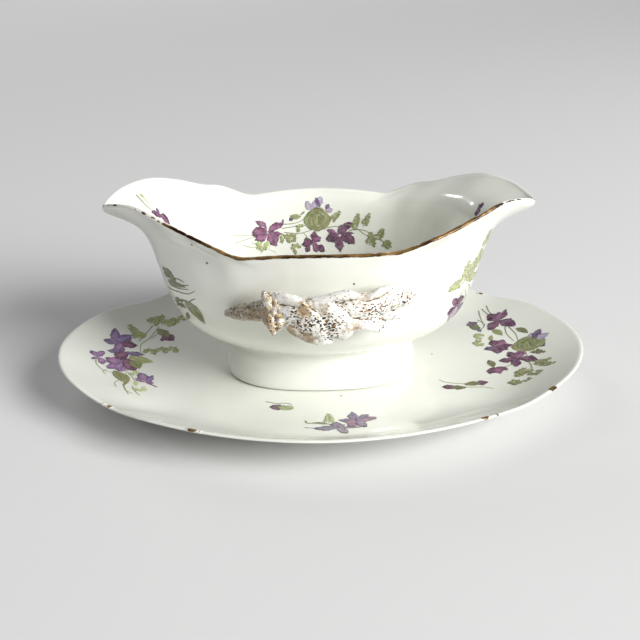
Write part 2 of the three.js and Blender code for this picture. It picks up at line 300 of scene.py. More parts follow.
class Look:
    """A material's nodes, with short ways to add to them."""

    def __init__(self, name):
        self.material = bpy.data.materials.new(name)
        self.material.use_nodes = True
        self.tree = self.material.node_tree
        self.tree.nodes.clear()
        out = self.add("OutputMaterial")
        self.shader = self.add("BsdfPrincipled")
        self.link(self.shader.outputs[0], out.inputs[0])

    def add(self, kind, **values):
        """A shader node with these settings, or inputs, given."""
        node = self.tree.nodes.new("ShaderNode" + kind)
        for key, value in values.items():
            if hasattr(node, key):
                setattr(node, key, value)
            else:
                node.inputs[key].default_value = value
        return node

    def link(self, source, target):
        self.tree.links.new(source, target)

    def feed(self, name, source):
        """Drive one of the shader's inputs."""
        self.link(source, self.shader.inputs[name])

    def fix(self, values):
        for name, value in values.items():
            self.shader.inputs[name].default_value = value

    def glazed(self, rough, coat=0.6):
        self.fix({"Roughness": rough, "IOR": 1.5, "Coat Weight": coat, "Coat Roughness": 0.035,
                  "Coat IOR": 1.5})

    @cached_property
    def place(self):
        """The spot on the piece itself, so that a pattern moves with it."""
        return self.add("TexCoord").outputs["Object"]

    def clouds(self, scale, detail, output="Fac"):
        node = self.add("TexNoise", Scale=scale, Detail=detail)
        self.link(self.place, node.inputs["Vector"])
        return node.outputs[output]

    def split(self, colour):
        node = self.add("SeparateColor")
        self.link(colour, node.inputs[0])
        return node.outputs

    def ranged(self, value, low, high, to_low=0.0, to_high=1.0):
        """The value moved from one range to another, and kept inside it."""
        node = self.add("MapRange", **{"From Min": low, "From Max": high, "To Min": to_low,
                                       "To Max": to_high})
        self.link(value, node.inputs["Value"])
        return node.outputs[0]

    def reckon(self, operation, first, second):
        node = self.add("Math", operation=operation)
        for socket, value in zip(node.inputs, (first, second)):
            if isinstance(value, float):
                socket.default_value = value
            else:
                self.link(value, socket)
        return node.outputs[0]

    def blended(self, share, first, second):
        """Two colours, as sockets or values, mixed by a socket."""
        node = self.add("Mix", data_type="RGBA")
        self.link(share, node.inputs[0])
        for socket, value in ((node.inputs[6], first), (node.inputs[7], second)):
            if isinstance(value, tuple):
                socket.default_value = (*value, 1)
            else:
                self.link(value, socket)
        return node.outputs[2]


def glaze_material():
    """White porcelain glaze, with faint clouds in its tone and faint ripples in its surface."""
    look = Look("white_glaze")
    tone = look.add("ValToRGB")
    low, high = tone.color_ramp.elements
    low.color, low.position = (0.80, 0.815, 0.745, 1), 0.3
    high.color, high.position = (0.865, 0.875, 0.81, 1), 0.7
    look.link(look.clouds(28.0, 3.0), tone.inputs["Fac"])
    look.feed("Base Color", tone.outputs[0])
    look.glazed(0.16)
    bump = look.add("Bump", Strength=0.05, Distance=0.0004)
    look.link(look.clouds(90.0, 1.0), bump.inputs["Height"])
    look.feed("Normal", bump.outputs[0])
    return look.material


# ---------------------------------------------------------------- printed flowers
# The lighter and the darker tone of each ink.
VIOLET = ((0.33, 0.12, 0.26), (0.085, 0.018, 0.065))
PLUM = ((0.20, 0.062, 0.148), (0.040, 0.008, 0.030))
MAUVE = ((0.27, 0.15, 0.29), (0.095, 0.042, 0.11))
DUSK = ((0.20, 0.12, 0.25), (0.065, 0.034, 0.10))
LILAC = ((0.56, 0.50, 0.60), (0.33, 0.26, 0.42))
LEAF = ((0.36, 0.38, 0.16), (0.17, 0.185, 0.06))
OLIVE = ((0.22, 0.225, 0.085), (0.095, 0.10, 0.036))
PALE_LEAF = ((0.47, 0.50, 0.25), (0.30, 0.34, 0.13))
STEM = ((0.27, 0.29, 0.13), (0.20, 0.22, 0.085))
PALE_STEM = ((0.47, 0.50, 0.28), (0.38, 0.42, 0.20))
PIT = ((0.09, 0.07, 0.055), (0.045, 0.035, 0.03))
BRIGHTEST = 0.85                 # no ink is whiter than the glaze
FILM_LIFT = 0.045                # mm between the glaze and the lowest film
FILM_STEP = 0.004                # mm added for each shape laid over the last
FILM_LAYERS = 24
FILM_THICKNESS = 0.035
# The leaves folded over a round bud: start and end as shares of its half sizes, width, bend, tone.
FOLDS = (((-0.55, -0.8), (-0.55, 0.75), 0.8, 0.2, 0.9), ((0.55, -0.8), (0.5, 0.8), 0.8, -0.2, 0.9),
         ((-0.7, 0.2), (0.6, 0.75), 0.5, 0.2, 0.82), ((-0.35, -0.65), (-0.4, 0.5), 0.55, 0.18, 0.72),
         ((0.4, -0.6), (0.35, 0.55), 0.5, -0.18, 0.82), ((-0.1, -0.5), (-0.15, 0.45), 0.4, 0.16, 0.9),
         ((0.12, -0.45), (0.12, 0.3), 0.3, -0.14, 0.62), ((-0.45, 0.3), (0.4, 0.42), 0.22, 0.2, 0.62),
         ((-0.5, -0.5), (0.4, -0.62), 0.24, -0.2, 0.72))


def film(name, verts, faces, channel, colours, thickness, offset):
    """A thin film over the faces, with a colour at each vertex in the named channel."""
    mesh = plain_mesh(name, verts, faces)
    mesh.shade_smooth()
    carried = mesh.color_attributes.new(channel, "FLOAT_COLOR", "POINT")
    carried.data.foreach_set("color", colours.ravel())
    piece = placed(name, mesh)
    solid = piece.modifiers.new("film", "SOLIDIFY")
    solid.thickness = thickness * MM
    solid.offset = offset
    return piece


class Print:
    """Flat painted shapes, in mm on a drawing plane, laid onto a glazed surface as thin films."""

    def __init__(self, name, surface, rays, seed):
        self.name, self.surface, self.rays = name, surface, rays
        self.random = np.random.default_rng(seed)
        self.verts, self.faces, self.inks = [], [], []
        # A print's tone scales its inks; above 1 it lightens them as painted light.
        self.layer, self.tone = 0, 1.0

    def sheet(self, grid, inks):
        """Rows by columns of plane points, each with its ink."""
        rows, columns = len(grid), len(grid[0])
        first = len(self.verts)
        lift = (FILM_LIFT + FILM_STEP * self.layer) * MM
        self.layer = (self.layer + 1) % FILM_LAYERS
        for r in range(rows):
            for c in range(columns):
                self.verts.append(self.landed(*grid[r][c], lift))
                self.inks.append((*inks[r][c], 1))
        for r in range(rows - 1):
            for c in range(columns - 1):
                k = first + r * columns + c
                self.faces.append((k, k + 1, k + columns + 1, k + columns))

    def landed(self, x, y, lift):
        """Where a plane point meets the glaze; a point past the outline is drawn in until it does."""
        for pull in range(30):
            origin, direction = self.rays(x * (1 - 0.006 * pull), y)
            hit, normal, _, _ = self.surface.ray_cast(origin, direction)
            if hit is not None:
                break
        return hit + (normal if normal.dot(direction) < 0 else -normal) * lift

    def petal(self, start, end, width, ink, bend=0.0, fullness=1.25, frill=0.07, rows=12, columns=9):
        """A petal from start to end, widest past its middle, with a ragged tip and a dark edge."""
        start, end = np.array(start, float), np.array(end, float)
        along = end - start
        length = np.hypot(*along)
        side = np.array([-along[1], along[0]]) / length
        phase = self.random.uniform(0, 6.3, 4)
        tone = self.random.uniform(0.86, 1.14) * self.random.uniform(0.93, 1.07, 3)
        grid, inks = [], []
        for r in range(rows):
            share = 0.05 + 0.95 * r / (rows - 1)
            half = width / 2 * max(math.sin(math.pi * min(share, 0.985) ** fullness), 0) ** 0.62
            waver = 1.6 * math.sin(11 * share + phase[0]) + 1.5 * math.sin(27 * share + phase[1])
            half *= 1.08 + frill * waver
            curl = bend * length * math.sin(math.pi * share)
            line, colours = [], []
            for c in range(columns):
                k = 2 * c / (columns - 1) - 1
                ragged = 1 + 1.3 * frill * share ** 2 * (math.sin(7.5 * k + phase[3]) - 0.5 * abs(k))
                reach = share * ragged * 1.08 - 0.08
                line.append(start + along * reach + side * (half * k + curl))
                vein = 0.3 * math.cos(8 * k + phase[1]) * (0.3 + share)
                blotch = 0.34 * math.sin(7 * share + 3 * k + phase[2])
                depth = 0.2 + 0.5 * share ** 2 + 0.5 * abs(k) ** 3 + vein + blotch
                depth = min(max(mix(depth, 1, 0.4 * max(0, 1 - 3 * share)), 0), 1)
                colours.append(tuple(np.array([mix(a, b, depth) for a, b in zip(*ink)]) * tone))
            grid.append(line)
            inks.append(colours)
        self.sheet(grid, inks)

    def petals(self, ink, *rows):
        """Petals of one ink, each start, end and width, then bend and fullness where they matter."""
        for x, y, to_x, to_y, width, *shape in rows:
            self.petal((x, y), (to_x, to_y), width, ink, *shape)

    def leaves(self, ink, *rows):
        """Pointed leaves with a darker midrib, each start, end and width, then bend if it isn't usual."""
        for x, y, to_x, to_y, width, *bend in rows:
            start, along = np.array((x, y), float), np.array((to_x - x, to_y - y), float)
            self.leaf(start, along, width, ink, bend[0] if bend else 0.05)

    def leaf(self, start, along, width, ink, bend):
        side = np.array([-along[1], along[0]]) / np.hypot(*along)
        tone = self.random.uniform(0.9, 1.1)
        cells = np.linspace(-1, 1, 9)
        grid, inks = [], []
        for r in range(11):
            share = 0.01 + 0.98 * r / 10
            half = width / 2 * math.sin(math.pi * share ** 0.85)
            curl = bend * np.hypot(*along) * math.sin(math.pi * share)
            grid.append([start + along * share + side * (half * k + curl) for k in cells])
            depth = [0.95 if k == 0 else 0.15 + 0.36 * abs(math.sin(10 * share + 2 * abs(k))) for k in cells]
            inks.append([tuple(tone * mix(a, b, d) for a, b in zip(*ink)) for d in depth])
        self.sheet(grid, inks)

    def stems(self, ink, width, *rows):
        """Thin lines of one ink, each through its points and tapering to its end."""
        for row in rows:
            points = np.reshape(row, (-1, 2))
            line = catmull(points, 6 * len(points))
            ahead = np.gradient(line, axis=0)
            side = np.stack([-ahead[:, 1], ahead[:, 0]], -1) / np.hypot(*ahead.T)[:, None]
            grid = []
            for i, (middle, across) in enumerate(zip(line, side)):
                half = width / 2 * mix(1, 0.55, i / len(line))
                grid.append([middle - across * half, middle, middle + across * half])
            self.sheet(grid, [[ink[0], ink[1], ink[0]]] * len(grid))

    def foliage(self, middle, size, lobes, ink, toward, spread):
        """Small rounded leaflets fanned around a point."""
        middle = np.array(middle, float)
        for i in range(lobes):
            angle = math.radians(toward + spread * (i / max(lobes - 1, 1) - 0.5) + self.random.uniform(-9, 9))
            reach = size * self.random.uniform(0.72, 1.0)
            ray = np.array([math.cos(angle), math.sin(angle)])
            start = middle + ray * reach * self.random.uniform(0.12, 0.3)
            end = middle + ray * reach
            self.petal(start, end, size * self.random.uniform(0.42, 0.58), ink, 0, 1.3, 0.14, 7, 5)

    def foliages(self, ink, *rows):
        """Fans of leaflets, each middle, size, leaflets, their heading and how far they spread."""
        for x, y, size, lobes, toward, spread in rows:
            self.foliage((x, y), size, lobes, ink, toward, spread)

    def ferns(self, ink, *rows):
        """Stems with pairs of leaflets, smaller towards the end: three points, size and pairs."""
        for *points, size, pairs in rows:
            self.stems(ink, 0.32, points)
            line = catmull(np.reshape(points, (-1, 2)), pairs + 2)
            for i in range(1, pairs + 2):
                ahead = line[i] - line[i - 1]
                heading = math.degrees(math.atan2(ahead[1], ahead[0]))
                scale = 1.2 * size * mix(1, 0.62, i / (pairs + 1))
                if i == pairs + 1:
                    self.foliage(line[i] - ahead * 0.2, scale * 0.9, 3, ink, heading, 80)
                    continue
                for turn in (62, -62):
                    self.foliage(line[i], scale, 3, ink, heading + turn, 75)

    def bud(self, heart, tip, width, head=PLUM, body=OLIVE):
        """A closed violet: a calyx with a coloured head at its tip."""
        heart, tip = np.array(heart, float), np.array(tip, float)
        self.petal(mix(heart, tip, 0.45), tip, width * 1.15, head, 0, 1.0)
        self.petal(heart, mix(heart, tip, 0.72), width, body, 0.03, 1.0)

    def pit(self, x, y, size=0.8):
        """A dark speck in the glaze."""
        self.petal((x - size / 2, y), (x + size / 2, y), size, PIT, 0, 1.0)

    def rosebud(self, middle, half_width, half_height, ink=LEAF):
        """A round green bud: a full disc with darker folded leaves laid over it."""
        middle, sizes = np.array(middle, float), np.array((half_width, half_height))
        across = np.linspace(-1, 1, 9)
        grid, inks = [], []
        for t in np.linspace(-0.985, 0.985, 14):
            half = half_width * math.sqrt(1 - t * t) * (1 + 0.05 * math.sin(6 * t + 1))
            grid.append([middle + (half * k, half_height * t) for k in across])
            rims = [0.8 * max(abs(k), abs(t)) ** 4 + 0.25 * math.sin(5 * k + 3 * t) for k in across]
            depth = [max(min(1, 0.15 + rim), 0) for rim in rims]
            inks.append([tuple(mix(a, b, d) for a, b in zip(*ink)) for d in depth])
        self.sheet(grid, inks)
        for start, end, width, bend, tone in FOLDS:
            darker = tuple(tuple(tone * v for v in shade) for shade in ink)
            self.petal(middle + sizes * start, middle + sizes * end, width * half_width, darker, bend,
                       0.95, 0.03)

    def finish(self, body):
        tint = np.array(self.inks, np.float32)
        # A tone above 1 lightens the inks as painted light.
        tint[:, :3] = np.minimum(tint[:, :3] * self.tone, BRIGHTEST)
        piece = film(self.name, self.verts, self.faces, "ink", tint, FILM_THICKNESS, -1)
        return dress(piece, INK, body, None)


def ink_material():
    """Printed enamel in the colours each film carries, thinned here and there to the white."""
    look = Look("printed_ink")
    tint = look.add("Attribute", attribute_name="ink").outputs["Color"]
    thin = look.ranged(look.clouds(420.0, 2.0), 0.42, 0.72, 0.0, 0.14)
    speck = look.ranged(look.clouds(2400.0, 1.0), 0.55, 0.7, 0.0, 0.22)
    worn = look.reckon("MAXIMUM", thin, speck)
    look.feed("Base Color", look.blended(worn, tint, (0.8, 0.8, 0.74)))
    look.glazed(0.2)
    return look.material


# How a drawing is thrown at the glaze. The back's copies are turned half a turn, with turn -1.
def from_above(height, turn=1):
    return lambda x, y: (Vector((turn * x * MM, turn * y * MM, height)), Vector((0, 0, -1)))


def from_side(distance, turn=1):
    return lambda x, z: (Vector((turn * x * MM, -turn * distance, z * MM)), Vector((0, turn, 0)))


# Each spray is drawn in mm: x and y on the stand and in the lips, x and height on the bowl's walls.
def draw_wall_spray(p):
    """The large spray inside the bowl: two full violets, a half-open one and a round green bud."""
    p.stems(PALE_STEM, 0.5, (-39, 58, -34, 57, -29, 56), (-38, 54, -33, 55, -28, 55.6),
            (-35, 52.6, -31, 51, -26, 50.6), (-31, 53, -27, 51.4, -20, 47.4))
    p.stems(STEM, 0.42, (-18, 60.4, -12, 60.4, -8, 61.5, -6.4, 63), (-17, 58.4, -10, 59, -3, 59.2),
            (-16, 56.4, -9, 55.6, -4, 56.8, -1, 58), (-7, 55.6, -5.6, 54, -6.4, 52),
            (4, 58, 8, 58.6, 12, 57.6), (12, 60, 17, 58.4, 21, 55.4, 24, 54), (14, 57, 20, 57.4, 25, 55.6),
            (24, 54, 29, 53, 33, 50.6))
    p.foliages(PALE_LEAF, (-26, 51.4, 3.4, 8, 250, 250))
    p.foliages(LEAF, (-15.5, 53, 3.6, 7, 80, 230), (-12.4, 53.6, 2.8, 6, 20, 200),
               (-10.6, 48.6, 3.0, 6, 150, 240), (-8.4, 58, 2.8, 5, 150, 180))
    p.ferns(LEAF, (5, 61.5, 7.6, 63, 9.6, 65.4, 1.9, 3), (16, 58.6, 17.6, 61.4, 18.2, 64.4, 2.0, 3),
            (20.5, 59, 22, 61.8, 23.2, 65, 1.8, 3))
    p.foliages(LEAF, (16.8, 58.8, 2.2, 5, 200, 180))
    p.ferns(LEAF, (23.4, 50.4, 24.4, 52.8, 24.2, 55.6, 2.6, 3), (26.4, 53.6, 28.6, 56, 29.4, 58, 1.9, 3))
    p.foliages(LEAF, (31.4, 51.4, 2.6, 8, 90, 330))
    p.leaves(LEAF, (-8, 63.6, -13.4, 64.2, 2.6))
    p.petals(DUSK, (-11.6, 63.4, -13.6, 61.8, 1.8))
    p.petals(STEM, (-8.4, 64.2, -6.2, 66, 0.9))
    p.petals(LILAC, (-2.6, 67, -5.8, 70.4, 3.2, 0.1), (-1.6, 67.6, -2.0, 70.6, 2.6),
             (0, 67.6, 1.4, 72.4, 3.6, 0.12))
    p.petals(DUSK, (0.6, 68, -1.2, 72, 2.0))
    p.petals(LILAC, (3.2, 66, 6.4, 66.8, 2.6))
    p.petals(DUSK, (3.4, 67, 4.8, 69.2, 1.8))
    p.rosebud((-0.6, 62.2), 4.5, 6.0)
    # left violet
    p.petals(VIOLET, (-24.2, 58.6, -28.8, 62.8, 2.7, -0.1), (-23.8, 57, -30.6, 57.2, 5.4, -0.05, 1.15),
             (-23.8, 56.6, -29.4, 54.2, 3.6, 0.1), (-23, 57, -16.4, 60.8, 3.4, 0.1))
    p.petals(DUSK, (-16.8, 60.2, -16.3, 62.8, 0.9))
    p.petals(VIOLET, (-22, 56.4, -17.2, 55.8, 2.2), (-23, 56.4, -19.8, 50.4, 5.2, 0.06, 1.2))
    # middle violet, half open
    p.petals(PLUM, (-2.6, 52, -2.0, 56.2, 3.0), (-2.8, 51.4, -7.8, 50, 4.2, -0.1, 1.2),
             (-4.4, 49.6, -6.0, 46.8, 2.4))
    p.petals(VIOLET, (-2.4, 51.6, 1.0, 53.4, 2.6), (-2.6, 51, -1.0, 46.6, 3.0, 0.1))
    p.petals(PLUM, (-0.6, 49.6, 2.6, 47, 3.2))
    # right violet
    p.petals(PLUM, (9.8, 55, 15.6, 60.4, 3.4, 0.1), (9.4, 55, 10.8, 59.4, 2.6))
    p.petals(VIOLET, (9.2, 54.6, 4.0, 57, 3.2, 0.1))
    p.petals(PLUM, (9.2, 54, 3.6, 52, 4.4, -0.05, 1.2), (10.4, 54.2, 16.4, 50.8, 4.6, 0.1, 1.2),
             (10.6, 55, 16.2, 55.6, 1.8), (9.8, 53.6, 10, 46.8, 3.6, -0.05, 1.2))


def draw_left_spray(p):
    """The spray at the stand's left end, its inks lightened as painted light where this end lies in shade."""
    p.tone = 1.5
    p.stems(STEM, 0.5, (-77, 34, -78.4, 28, -80, 22, -82.6, 16, -82, 8, -84, -4, -85, -16),
            (-80, 34, -82, 26, -84, 18), (-75.6, 30, -77.4, 26, -79, 22),
            (-99, -4, -98, -9, -94, -13.6, -88, -14), (-84, -12, -81.4, -16, -79.6, -20),
            (-86, -20, -87.4, -24, -86, -28), (-84, -22, -82.4, -28, -80, -33.4),
            (-84, -24, -81.6, -30, -78.6, -32), (-80, -25, -77.6, -30, -75.4, -33),
            (-93, -12.4, -94, -15, -92.4, -17))
    p.ferns(LEAF, (-81.4, 35, -79.6, 38.6, -76.4, 43.4, 3.2, 3),
            (-75.4, 36, -72.6, 39.6, -68.6, 44.4, 3.6, 3))
    p.foliages(LEAF, (-66.8, 45.4, 3.0, 7, 60, 240))
    p.ferns(LEAF, (-84, 20, -86, 25, -89.6, 29.6, 3.0, 4))
    p.foliages(LEAF, (-84, 24.6, 3.2, 6, 60, 220), (-77.6, 9.6, 4.0, 6, 80, 230),
               (-72.6, 11.4, 4.0, 6, 80, 230), (-68, 12, 4.0, 6, 80, 230))
    p.leaves(LEAF, (-86, 3.4, -74.6, -0.4, 7.4, -0.1))
    p.leaves(OLIVE, (-84.6, 0, -79.6, -7.6, 5.6))
    p.bud((-76.8, 31.6), (-68.8, 21.6), 4.8)
    p.petals(PLUM, (-73, 25, -74, 20.6, 2.2))
    p.leaves(OLIVE, (-90, -12, -84.6, -22, 5.2, 0.08), (-84.4, -14, -83, -25, 2.6))
    p.foliages(PALE_LEAF, (-76.6, -26.6, 3.6, 6, 300, 200), (-82, -11.6, 3.2, 5, 330, 180))
    p.leaves(PALE_LEAF, (-79.6, -19.6, -78.4, -24.6, 2.2))
    # small open violets on the left
    p.petals(DUSK, (-98.4, -2, -102.2, 1.4, 3.6))
    p.petals(MAUVE, (-98, -2, -97.2, 3.8, 3.0, 0.1))
    p.petals(DUSK, (-98.6, -2.6, -100.8, -6, 1.6))
    p.petals(MAUVE, (-98, -3, -95.4, -8, 3.6, 0.1))
    # upper violet
    p.petals(DUSK, (-92.4, 13, -95.6, 24.4, 4.4, 0.05), (-92.8, 13, -98.8, 13.6, 5.0, -0.1),
             (-92, 13.6, -88.4, 22.6, 5.2, 0.05))
    p.petals(PLUM, (-91.6, 13, -84.4, 14.4, 6.0, 0.1))
    p.petals(MAUVE, (-92.4, 14, -90.6, 5.4, 4.6))
    # middle violet
    p.petals(DUSK, (-89.8, 6, -95.8, 5.4, 3.6, -0.1), (-89, 6.4, -80, 6.4, 3.6))
    p.petals(PLUM, (-89.8, 7, -89.4, -0.6, 5.6))
    # large lower violet
    p.petals(MAUVE, (-88.8, -3, -95.2, -1, 6.0, 0.05), (-88.6, -3, -88.8, 3, 4.0))
    p.petals(PLUM, (-88, -3, -83, 2, 4.6, -0.1))
    p.petals(MAUVE, (-88.8, -3.6, -93, -10.6, 5.2, 0.08), (-88.2, -3.8, -87.2, -12, 5.4))
    p.petals(PLUM, (-87.4, -3.6, -81.4, -9.6, 4.6, 0.05))
    # lower right violet
    p.petals(MAUVE, (-75.6, -19.6, -79, -11.6, 4.6, -0.05), (-75.4, -19.6, -80, -17, 3.0))
    p.petals(DUSK, (-74.2, -20, -73, -13.4, 2.6))
    p.petals(MAUVE, (-75, -19.8, -71.6, -20.6, 2.2))
    p.stems(PLUM, 0.9, (-75, -20, -72.4, -22, -69.6, -24.2))


def draw_right_spray(p):
    """The spray at the stand's right end, with the round green bud."""
    p.stems(STEM, 0.5, (77.4, 44, 77.4, 38, 78, 31), (79, 44.6, 80.8, 40, 82.6, 36),
            (81.4, 46, 82, 41, 83, 38), (75.6, 36.6, 77.4, 33.6, 78, 29), (87, 26, 86.6, 20, 88.6, 12),
            (88.6, 25, 90.4, 18, 90.4, 10), (76, 27, 77.6, 29, 78.6, 32), (91.4, 1, 91.4, -3, 90.6, -8),
            (84, -9.6, 80.4, -11, 78, -12), (91, -9, 91, -16, 89.6, -20), (92, -9, 94.6, -13, 98, -17))
    p.leaves(PALE_LEAF, (71.4, 21, 76.4, 22, 3.6))
    p.foliages(PALE_LEAF, (74.4, 20, 3.4, 6, 150, 250), (72.8, 13.6, 3.6, 7, 200, 260))
    p.leaves(LEAF, (78.6, 15, 80, 20.6, 2.2), (81, 25.6, 84.6, 18.6, 3.8))
    p.ferns(LEAF, (93, -10, 95.4, -12.6, 99, -12, 3.0, 2), (94, -12, 96.6, -16, 99.6, -17.4, 2.6, 2),
            (90.6, -16, 86.6, -18.4, 84, -21, 3.4, 3))
    p.foliages(LEAF, (91, -22, 3.6, 7, 270, 260), (81.6, -27.6, 3.4, 8, 200, 300),
               (86.4, -26.8, 2.6, 5, 300, 180))
    p.ferns(OLIVE, (94.6, 1, 96, -2, 98.4, -4, 2.4, 2))
    p.leaves(OLIVE, (91.4, 22.4, 95.8, 15.6, 3.0))
    p.petals(DUSK, (97.6, 10, 101, 15.6, 3.6, 0.05))
    p.petals(LILAC, (98.4, 8, 103.8, 10.4, 4.0, 0.1))
    p.petals(DUSK, (97.6, 5, 100, 1, 3.6))
    p.petals(LILAC, (96, 11, 96.8, 15, 2.6))
    p.rosebud((94, 6.8), 5.6, 6.6)
    p.bud((74.6, 27), (71.8, 36), 4.2, DUSK)
    p.petals(DUSK, (74.8, 28.6, 75.4, 24.6, 1.8))
    # top violet
    p.petals(PLUM, (85, 32, 81.4, 38.8, 5.6))
    p.petals(VIOLET, (85.4, 33, 86, 38.2, 4.0))
    p.petals(PLUM, (86, 32.6, 89.4, 38.4, 2.8, -0.1), (84.6, 31.6, 79.6, 25.6, 5.0, -0.06),
             (85.2, 31.4, 91, 24.6, 5.2, 0.08))
    # middle violet
    p.petals(PLUM, (80.6, 9, 78.8, 15.2, 4.6))
    p.petals(VIOLET, (80.8, 9.4, 84.2, 14.6, 4.2))
    p.petals(PLUM, (81, 9, 87.6, 8.6, 3.4), (80.6, 8.6, 84.4, 5, 3.6))
    p.petals(DUSK, (80.4, 8.6, 74.4, 7, 4.4, 0.05))
    p.petals(PLUM, (80.4, 8.2, 79.6, 2.4, 4.6))
    # lower violet
    p.petals(PLUM, (86.6, -4, 84.6, 2.6, 4.6))
    p.petals(VIOLET, (87, -4, 89.8, 2.4, 4.6, -0.05))
    p.petals(PLUM, (86.4, -4.2, 79, -5, 4.4, 0.06), (86.6, -4.6, 84.8, -12, 4.0),
             (87.2, -4.6, 94.6, -10, 5.0, 0.1))
    # small violet with its calyx
    p.leaves(OLIVE, (74.4, -3.4, 75.4, -11, 3.6))
    p.petals(PLUM, (76, -11, 72.8, -16.6, 4.2))
    p.petals(VIOLET, (76.4, -11.4, 77.4, -17, 3.6))
    p.petals(PLUM, (76.6, -11, 80.8, -14.4, 3.0, 0.1))


def draw_stand_buds(p):
    """Loose buds and the short sprig on the near side of the stand."""
    p.stems(STEM, 0.5, (62, -25, 56, -24, 52.4, -22.6, 50.4, -20.4),
            (58, -27.4, 64, -28, 69, -28.6, 72, -30.4))
    p.bud((61, -25.4), (70.6, -24.2), 3.4)
    p.bud((60.6, -28), (51, -27), 3.2)
    p.stems(STEM, 0.45, (-23, -37.4, -19, -39, -14, -39.2, -12, -41))
    p.bud((-11.6, -43), (-21, -42), 3.6, PLUM, LEAF)
    p.pit(8.2, -33.5)
    p.pit(50.2, 4, 0.7)


def draw_front_sprig(p):
    p.stems(DUSK, 0.5, (-7, -59.6, -4, -60, -1, -60))
    p.stems(STEM, 0.8, (-6.6, -53.6, -6, -55.4, 0, -56, 5, -57.6))
    p.leaves(OLIVE, (-4, -55.4, 3, -57, 1.7))
    p.ferns(PALE_LEAF, (2.6, -56, 2.8, -53, 2.6, -49, 2.4, 3))
    p.petals(DUSK, (6, -60, -3, -60.4, 4.0, 0.03), (5.6, -59.6, 5, -54.8, 4.0), (6, -60, 8.8, -57.4, 2.4),
             (6, -60.4, 14.4, -60.2, 1.8, 0.05), (6, -60.4, 9.4, -66, 3.6, 0.06),
             (12.8, -54, 12.2, -47, 3.6, 0.04), (13, -53.8, 6.8, -53.4, 2.8, 0.06))
    p.petals(VIOLET, (13.2, -54, 21.4, -52, 4.4, 0.04))
    p.petals(DUSK, (13.4, -53.6, 18.6, -49.6, 3.2))
    p.petals(VIOLET, (13, -54.2, 10.4, -58.8, 4.6, 0.05))
    p.petals(DUSK, (13.4, -54.4, 17, -60, 3.8, 0.05))


def draw_outside_right(p):
    """The spray on the bowl's outside under the right pouring lip."""
    p.stems(PALE_STEM, 0.45, (57.4, 48.4, 59.6, 51, 61.6, 51.6, 62.8, 49.4), (60, 50, 60.8, 46.4, 61, 44),
            (61.6, 52, 62.4, 49, 62.4, 46.6), (58, 54, 61, 57, 64, 62, 68, 69.4))
    p.ferns(PALE_LEAF, (58.4, 54, 60, 58, 60.6, 63, 2.8, 3), (61, 56, 63.4, 59, 64.4, 63, 2.2, 3),
            (58, 54.6, 55.4, 54.8, 52.8, 53.6, 2.6, 3), (60, 53, 63, 54.6, 65, 53, 2.4, 3),
            (65, 58, 66.4, 61.6, 66.6, 65, 2.4, 3), (67.6, 66, 69.4, 69.6, 70.2, 73, 2.4, 3))
    p.petals(VIOLET, (57, 43.6, 54.6, 48.2, 3.0))
    p.petals(PLUM, (57.2, 43.6, 58.6, 47.8, 3.4), (56.8, 43, 52.8, 40.4, 3.6, -0.06))
    p.petals(VIOLET, (57, 43, 57.2, 36, 5.2))
    p.petals(DUSK, (57.4, 43, 59.6, 38.6, 3.6, 0.05))
    p.petals(LILAC, (56.6, 42.6, 54, 34, 3.4, -0.05))


def draw_outside_left(p):
    """The stems and leaves on the bowl's outside under the left pouring lip."""
    p.stems(OLIVE, 0.6, (-63.4, 51, -58, 52.2, -53.6, 53, -50.2, 55.4), (-62, 53.6, -57.6, 54, -53, 55.4),
            (-61.6, 55.4, -57, 56, -52.6, 57.4), (-60.4, 58, -57, 58.6, -54.6, 58),
            (-53.4, 49, -51.8, 50.8, -50.4, 51.8), (-58, 48, -55.6, 49, -53.6, 49),
            (-55, 42.4, -55.8, 39.6, -56, 37.4))
    p.leaves(OLIVE, (-64.8, 61, -59.4, 56.4, 3.4), (-62.6, 61.6, -60, 57, 2.4))
    p.foliages(OLIVE, (-61.4, 56.8, 3.4, 7, 20, 260))
    p.leaves(OLIVE, (-62, 54.4, -54, 56, 2.2), (-55.6, 49.4, -47, 40, 5.0, 0.05))
    p.leaves(STEM, (-54.8, 48, -50.6, 43, 2.2))
    p.foliages(OLIVE, (-58, 46.6, 3.2, 7, 200, 280))
    p.leaves(OLIVE, (-54.8, 43, -56, 37.4, 2.2))
    p.pit(-44, 69.4, 0.9)
    p.pit(-49.5, 76.8, 0.8)
    p.pit(13, 63.5)


def draw_left_lip(p):
    """The end of the inside spray, up in the left pouring lip, drawn from above."""
    p.stems(STEM, 0.6, (-77.6, 11.8, -75.6, 10.9, -73.6, 10, -71, 9.6))
    p.stems(PALE_STEM, 0.5, (-75.4, 13.2, -73.8, 11.9, -72, 10.6))
    p.leaves(PALE_LEAF, (-76.6, 12.8, -74.2, 12.4, 0.9))
    p.petals(PLUM, (-67.6, 10.8, -71.2, 8.8, 1.8), (-68, 10.6, -64.6, 12.6, 1.8))
    p.petals(DUSK, (-68.4, 10.8, -69.6, 11.8, 1.2))


def draw_right_lip(p):
    p.petals(PLUM, (69.2, 9.4, 67, 10.8, 1.7), (69.2, 10.2, 70.6, 11.4, 1.4))
    p.petals(DUSK, (68.2, 9.6, 69.2, 12, 1.2))


# ---------------------------------------------------------------- gilding
# Rows of the band over the rim: inset and lift in mm, and how much more of the gold is kept there.
BOAT_GILT_ROWS = ((0.0, -1.15, -0.34), (0.0, -0.75, 0.0), (0.12, -0.4, 0.08), (0.4, -0.08, 0.06),
                  (0.8, 0.08, -0.06), (1.2, 0.05, -0.32))
# The same on the stand: share of its half length and height in mm.
STAND_GILT_ROWS = ((0.996, 18.4, -0.25), (1.0, 18.9, 0.0), (0.998, 19.3, 0.06), (0.991, 19.5, 0.06),
                   (0.984, 19.32, 0.0), (0.979, 19.1, -0.3))
